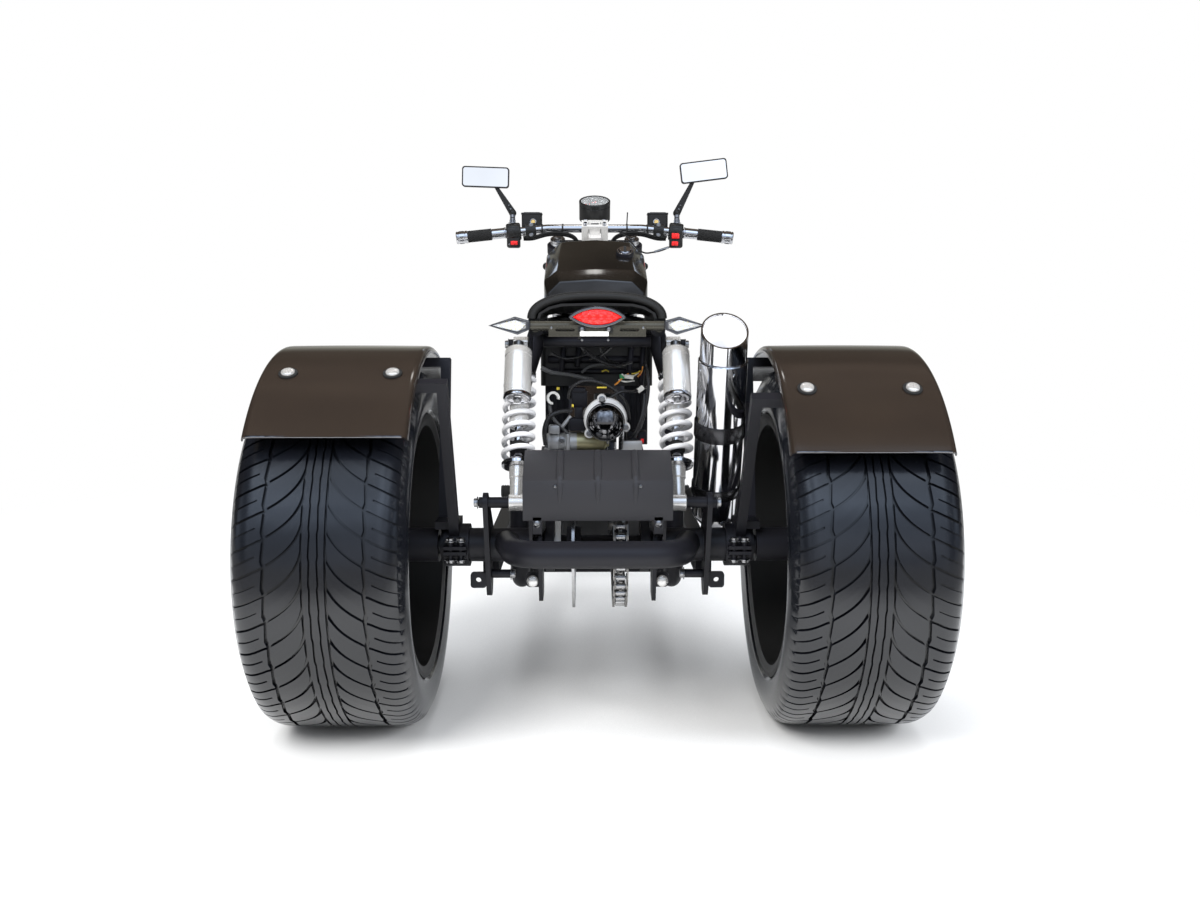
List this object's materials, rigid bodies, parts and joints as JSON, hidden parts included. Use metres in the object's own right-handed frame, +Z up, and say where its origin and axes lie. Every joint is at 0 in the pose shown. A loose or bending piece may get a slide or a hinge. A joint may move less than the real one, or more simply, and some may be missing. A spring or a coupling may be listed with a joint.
{
  "type": "trike scooter",
  "caption": "Three-wheeled scooter with wide rear tyres on a chain-driven axle, twin white rear springs, black fenders, upright chrome muffler and raked front fork.",
  "frame": {"origin": "on the ground under the middle of the whole vehicle", "axes": "+Y forwards, +X to the rider's right, +Z up"},
  "size_m": [1.1842, 2.087, 1.1702],
  "materials": {
    "frame_black": "gloss black paint",
    "body_gloss": "high gloss black paint",
    "plate_satin": "satin black paint",
    "rim_black": "gloss black paint",
    "exhaust_black": "heat resistant black",
    "polished_alloy": "polished",
    "engine_alloy": "cast",
    "engine_dark": "dark cast",
    "spring_white": "gloss white powder coat",
    "zinc_yellow": "zinc plated",
    "chrome": "polished",
    "chain_steel": "oiled",
    "disc_steel": "ground",
    "tyre": "moulded",
    "rubber_black": "moulded",
    "plastic_black": "satin",
    "seat_leather": "grained",
    "lens_red": "clear moulded",
    "lens_clear": "clear moulded",
    "mirror": "silvered"
  },
  "bodies": {
    "chassis": {"main_frame": "frame_black", "swingarm": "frame_black", "axle_housing": "frame_black", "rear_bumper_bar": "frame_black", "fender_brackets": "frame_black", "rear_fenders": "body_gloss", "shock_bodies": "polished_alloy", "shock_springs": "spring_white", "mud_guard_plate": "plate_satin", "engine_crankcase": "engine_dark", "engine_cylinder": "engine_alloy", "starter_motor": "zinc_yellow", "intake_cap": "chrome", "carburettor": "engine_alloy", "electrics_box": "plastic_black", "exhaust_pipe": "exhaust_black", "muffler": "chrome", "drive_chain": "chain_steel", "seat_cushion": "seat_leather", "seat_pan": "plastic_black", "fuel_tank": "body_gloss", "key_lock": "chrome", "tail_lamp_housing": "chrome", "tail_lamp_lens": "lens_red", "plate_bracket": "plastic_black", "turn_signal_frames": "chrome", "turn_signal_lenses": "lens_clear", "foot_pegs": "rubber_black", "rear_brake_caliper": "engine_alloy"},
    "steering": {"fork_yokes": "frame_black", "fork_legs": "polished_alloy", "riser_clamp": "polished_alloy", "handlebar": "chrome", "hand_grips": "rubber_black", "switch_housings": "plastic_black", "brake_levers": "plastic_black", "mirror_frames": "plastic_black", "mirror_glass": "mirror", "speedometer": "plastic_black", "headlamp_shell": "chrome", "headlamp_lens": "lens_clear", "front_fender": "body_gloss"},
    "front_wheel": {"front_tyre": "tyre", "front_rim": "rim_black"},
    "rear_axle": {"rear_tyres": "tyre", "rear_rims": "rim_black", "axle_shaft": "frame_black", "rear_sprocket": "chain_steel", "rear_brake_disc": "disc_steel"}
  },
  "joints": [
    {"name": "steering_turn", "type": "hinge", "parent": "chassis", "child": "steering", "pos_m": [0, 0.35154, 0.91497], "axis": [0, -0.5, 0.866], "range_deg": [-35, 35]},
    {"name": "front_wheel_spin", "type": "hinge", "parent": "steering", "child": "front_wheel", "pos_m": [0, 0.7365, 0.307], "axis": [1, 0, 0], "continuous": true},
    {"name": "rear_axle_spin", "type": "hinge", "parent": "chassis", "child": "rear_axle", "pos_m": [0, -0.7135, 0.33], "axis": [1, 0, 0], "continuous": true}
  ]
}
